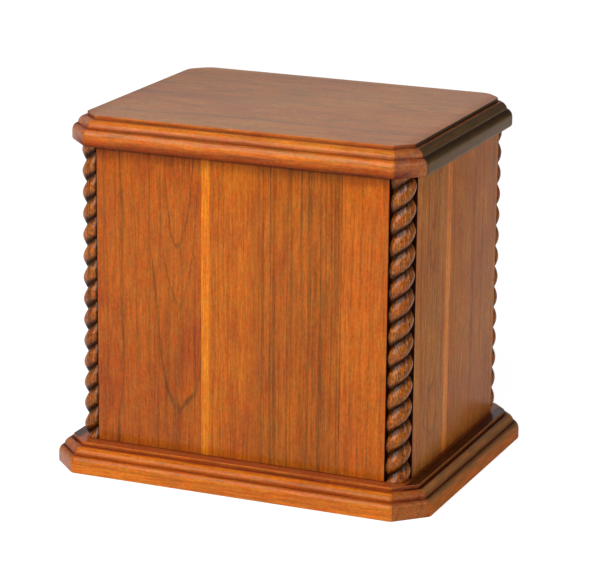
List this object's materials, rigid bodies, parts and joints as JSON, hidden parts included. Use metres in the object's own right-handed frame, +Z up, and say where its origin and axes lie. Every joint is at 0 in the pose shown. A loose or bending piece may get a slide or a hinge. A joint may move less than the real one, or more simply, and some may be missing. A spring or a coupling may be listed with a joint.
{
  "type": "urn box",
  "caption": "Rectangular wooden urn box with a lift-off lid, stepped and beaded mouldings on lid and base, and twisted rope columns let into the corners.",
  "frame": {"origin": "middle of the underside of the base board, on the surface that the box stands on", "axes": "+X along the long sides, to the right as seen from the front; -Y towards the front; +Z up through the lid"},
  "size_m": [0.2612, 0.2118, 0.2349],
  "materials": {
    "base_board": "glossy clear lacquer over orange-brown cherry",
    "front_panel": "glossy clear lacquer over orange-brown cherry",
    "back_panel": "glossy clear lacquer over orange-brown cherry",
    "left_panel": "glossy clear lacquer over orange-brown cherry",
    "right_panel": "glossy clear lacquer over orange-brown cherry",
    "rope_column_front_left": "glossy clear lacquer over orange-brown cherry",
    "rope_column_front_right": "glossy clear lacquer over orange-brown cherry",
    "rope_column_back_left": "glossy clear lacquer over orange-brown cherry",
    "rope_column_back_right": "glossy clear lacquer over orange-brown cherry",
    "lid": "glossy clear lacquer over orange-brown cherry"
  },
  "bodies": {
    "root": {"base_board": "base_board", "front_panel": "front_panel", "back_panel": "back_panel", "left_panel": "left_panel", "right_panel": "right_panel", "rope_column_front_left": "rope_column_front_left", "rope_column_front_right": "rope_column_front_right", "rope_column_back_left": "rope_column_back_left", "rope_column_back_right": "rope_column_back_right", "lid": "lid"}
  },
  "joints": []
}
